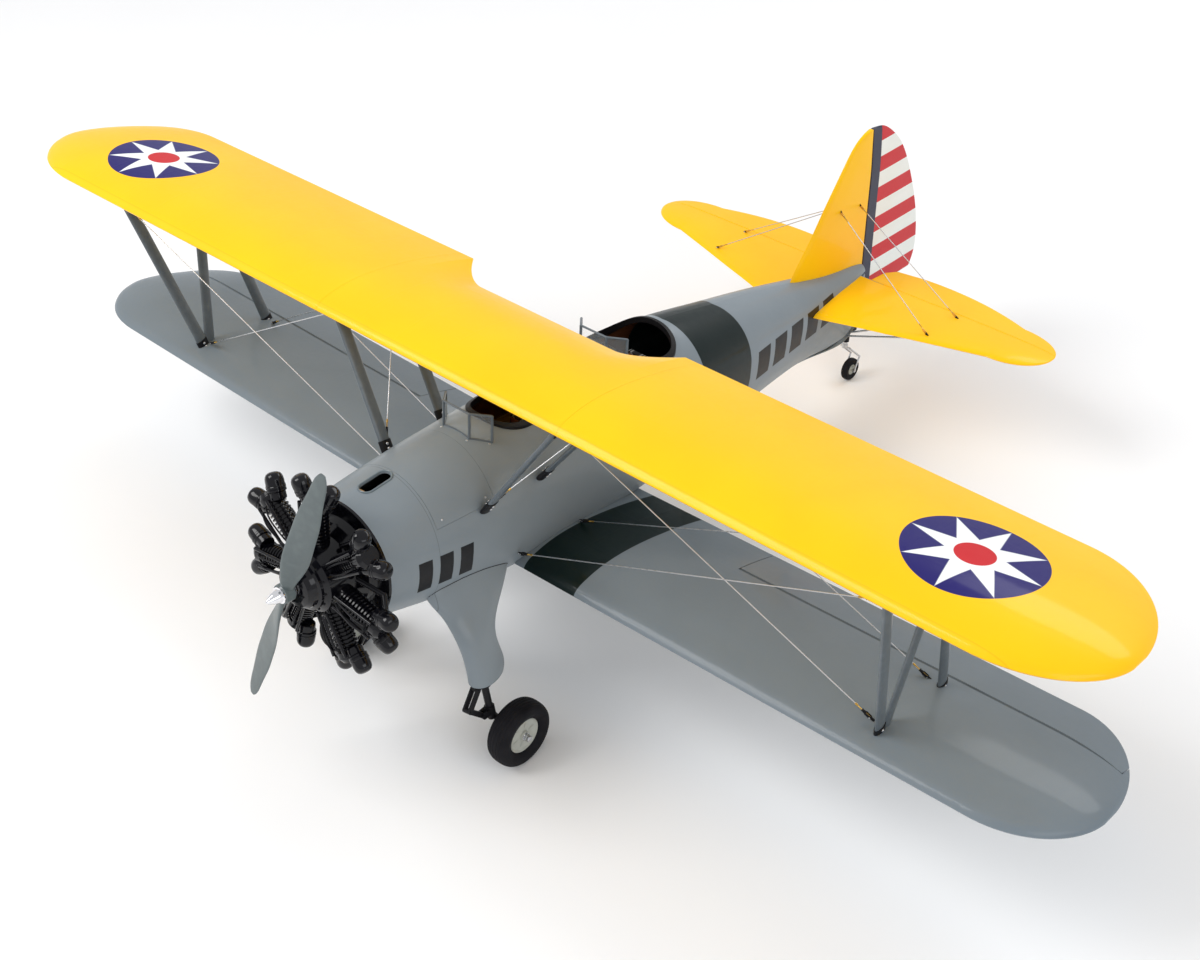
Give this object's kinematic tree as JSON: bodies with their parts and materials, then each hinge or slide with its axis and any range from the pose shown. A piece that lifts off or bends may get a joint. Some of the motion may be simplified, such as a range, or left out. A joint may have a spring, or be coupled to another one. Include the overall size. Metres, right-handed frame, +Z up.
{
  "type": "rc biplane",
  "caption": "Radio controlled trainer biplane with a dummy radial engine, N struts, wire bracing, open cockpits and sprung landing gear.",
  "frame": {"origin": "on the ground under the middle of the overall box, with the model standing tail-down on its three wheels", "axes": "+X towards the port wing tip, -Y towards the propeller, +Z up from the ground"},
  "size_m": [1.7984, 1.398, 0.5576],
  "materials": {
    "yellow": "gloss",
    "grey": "gloss",
    "strut_grey": "satin",
    "engine_black": "gloss",
    "prop_grey": "satin",
    "chrome": "polished",
    "steel": "satin",
    "plywood": "matt",
    "tyre": "matt",
    "hub_white": "satin",
    "clear": "clear",
    "black": "satin",
    "cockpit": "matt",
    "rudder_stripes": "gloss",
    "aluminium": "satin",
    "battery": "satin",
    "dark_rim": "matt"
  },
  "bodies": {
    "airframe": {"battery_pack": "battery", "belly_plate": "plywood", "cabane_struts": "strut_grey", "cockpit_rims": "dark_rim", "cockpit_seats_and_panels": "cockpit", "engine_crankcase": "engine_black", "engine_cylinders": "engine_black", "engine_pipes": "engine_black", "engine_plate": "engine_black", "fin": "yellow", "firewall": "plywood", "flying_wires": "steel", "fuselage_shell": "grey", "gear_leg_fairing_left": "grey", "gear_leg_fairing_right": "grey", "interplane_struts_left": "strut_grey", "interplane_struts_right": "strut_grey", "lower_wing_left": "grey", "lower_wing_right": "grey", "motor_stator_and_standoffs": "aluminium", "oleo_cylinders": "steel", "plywood_trays": "plywood", "receiver_and_motor_controller": "black", "rocker_boxes": "engine_black", "servos": "black", "stabilizer": "yellow", "strut_fittings": "black", "tail_bracing": "steel", "tail_wheel_bracket": "black", "top_hatch": "grey", "upper_wing_centre": "yellow", "upper_wing_left": "yellow", "upper_wing_right": "yellow", "windscreens": "clear", "wing_joiner_tubes": "aluminium", "wire_clevises": "black"},
    "propeller_set": {"propeller": "prop_grey", "prop_nut_and_washer": "chrome", "prop_shaft": "steel", "motor_bell": "aluminium"},
    "aileron_left_body": {"aileron_left": "grey"},
    "aileron_right_body": {"aileron_right": "grey"},
    "servo_arm_left": {"aileron_servo_arm_left": "black"},
    "servo_arm_right": {"aileron_servo_arm_right": "black"},
    "pushrod_left": {"aileron_pushrod_left": "steel"},
    "pushrod_right": {"aileron_pushrod_right": "steel"},
    "elevator_body": {"elevator": "yellow"},
    "rudder_body": {"rudder": "rudder_stripes"},
    "tail_fork": {"tail_wheel_fork": "steel"},
    "tail_wheel_body": {"tail_wheel": "tyre"},
    "oleo_left": {"oleo_piston_left": "steel"},
    "oleo_right": {"oleo_piston_right": "steel"},
    "scissor_upper_left_link": {"scissor_upper_left": "black"},
    "scissor_upper_right_link": {"scissor_upper_right": "black"},
    "scissor_lower_left_link": {"scissor_lower_left": "black"},
    "scissor_lower_right_link": {"scissor_lower_right": "black"},
    "wheel_left": {"tyre_left": "tyre", "wheel_hub_left": "hub_white"},
    "wheel_right": {"tyre_right": "tyre", "wheel_hub_right": "hub_white"}
  },
  "joints": [
    {"name": "propeller_spin", "type": "hinge", "parent": "airframe", "child": "propeller_set", "pos_m": [0, -0.67003, 0.34614], "axis": [0, 0.9941, -0.1084], "continuous": true},
    {"name": "aileron_left_hinge", "type": "hinge", "parent": "airframe", "child": "aileron_left_body", "pos_m": [0.58387, -0.17374, 0.21376], "axis": [0.9997, 0.0028, 0.0258], "range_deg": [-20, 20]},
    {"name": "aileron_right_hinge", "type": "hinge", "parent": "airframe", "child": "aileron_right_body", "pos_m": [-0.58387, -0.17374, 0.21376], "axis": [0.9997, -0.0028, -0.0258], "range_deg": [-20, 20]},
    {"name": "servo_arm_left_pivot", "type": "hinge", "parent": "airframe", "child": "servo_arm_left", "pos_m": [0.46979, -0.2629, 0.22524], "axis": [0.9997, 0.0028, 0.0258], "range_deg": [-20, 20]},
    {"name": "pushrod_left_pivot", "type": "hinge", "parent": "servo_arm_left", "child": "pushrod_left", "pos_m": [0.47041, -0.26675, 0.20156], "axis": [0.9997, 0.0028, 0.0258], "range_deg": [-20, 20]},
    {"name": "servo_arm_right_pivot", "type": "hinge", "parent": "airframe", "child": "servo_arm_right", "pos_m": [-0.46979, -0.2629, 0.22524], "axis": [0.9997, -0.0028, -0.0258], "range_deg": [-20, 20]},
    {"name": "pushrod_right_pivot", "type": "hinge", "parent": "servo_arm_right", "child": "pushrod_right", "pos_m": [-0.47041, -0.26675, 0.20156], "axis": [0.9997, -0.0028, -0.0258], "range_deg": [-20, 20]},
    {"name": "elevator_hinge", "type": "hinge", "parent": "airframe", "child": "elevator_body", "pos_m": [0, 0.51047, 0.21736], "axis": [1, 0, 0], "range_deg": [-22, 22]},
    {"name": "rudder_hinge", "type": "hinge", "parent": "airframe", "child": "rudder_body", "pos_m": [0, 0.53234, 0.21498], "axis": [0, 0.0423, 0.9991], "range_deg": [-24, 24]},
    {"name": "tail_wheel_steer", "type": "hinge", "parent": "airframe", "child": "tail_fork", "pos_m": [0, 0.50839, 0.09688], "axis": [0, 0.1084, 0.9941], "range_deg": [-24, 24]},
    {"name": "tail_wheel_spin", "type": "hinge", "parent": "tail_fork", "child": "tail_wheel_body", "pos_m": [0, 0.52611, 0.0195], "axis": [1, 0, 0], "continuous": true},
    {"name": "oleo_left_slide", "type": "slide", "parent": "airframe", "child": "oleo_left", "axis": [-0.1748, 0.0195, 0.9844], "range_m": [0, 0.01], "stiffness_N_per_m": 3000, "springref_m": -0.02},
    {"name": "scissor_upper_left_pivot", "type": "hinge", "parent": "airframe", "child": "scissor_upper_left_link", "pos_m": [0.13128, -0.49903, 0.13317], "axis": [0.9845, 0.019, 0.1744], "range_deg": [-12.5, 0]},
    {"name": "scissor_lower_left_pivot", "type": "hinge", "parent": "oleo_left", "child": "scissor_lower_left_link", "pos_m": [0.13897, -0.49989, 0.08985], "axis": [0.9845, 0.019, 0.1744], "range_deg": [0, 12.5]},
    {"name": "wheel_left_spin", "type": "hinge", "parent": "oleo_left", "child": "wheel_left", "pos_m": [0.167, -0.46364, 0.048], "axis": [1, 0, 0], "continuous": true},
    {"name": "oleo_right_slide", "type": "slide", "parent": "airframe", "child": "oleo_right", "axis": [0.1748, 0.0195, 0.9844], "range_m": [0, 0.01], "stiffness_N_per_m": 3000, "springref_m": -0.02},
    {"name": "scissor_upper_right_pivot", "type": "hinge", "parent": "airframe", "child": "scissor_upper_right_link", "pos_m": [-0.13128, -0.49903, 0.13317], "axis": [0.9845, -0.019, -0.1744], "range_deg": [-12.5, 0]},
    {"name": "scissor_lower_right_pivot", "type": "hinge", "parent": "oleo_right", "child": "scissor_lower_right_link", "pos_m": [-0.13897, -0.49989, 0.08985], "axis": [0.9845, -0.019, -0.1744], "range_deg": [0, 12.5]},
    {"name": "wheel_right_spin", "type": "hinge", "parent": "oleo_right", "child": "wheel_right", "pos_m": [-0.167, -0.46364, 0.048], "axis": [1, 0, 0], "continuous": true}
  ],
  "couplings": [
    {"joint": "aileron_right_hinge", "follows": "aileron_left_hinge", "ratio": -1},
    {"joint": "servo_arm_left_pivot", "follows": "aileron_left_hinge", "ratio": 1},
    {"joint": "pushrod_left_pivot", "follows": "aileron_left_hinge", "ratio": -1},
    {"joint": "servo_arm_right_pivot", "follows": "aileron_left_hinge", "ratio": -1},
    {"joint": "pushrod_right_pivot", "follows": "aileron_left_hinge", "ratio": 1},
    {"joint": "tail_wheel_steer", "follows": "rudder_hinge", "ratio": 1},
    {"joint": "scissor_upper_left_pivot", "follows": "oleo_left_slide", "rad_per_m": -21.552},
    {"joint": "scissor_lower_left_pivot", "follows": "oleo_left_slide", "rad_per_m": 21.552},
    {"joint": "scissor_upper_right_pivot", "follows": "oleo_right_slide", "rad_per_m": -21.552},
    {"joint": "scissor_lower_right_pivot", "follows": "oleo_right_slide", "rad_per_m": 21.552}
  ]
}
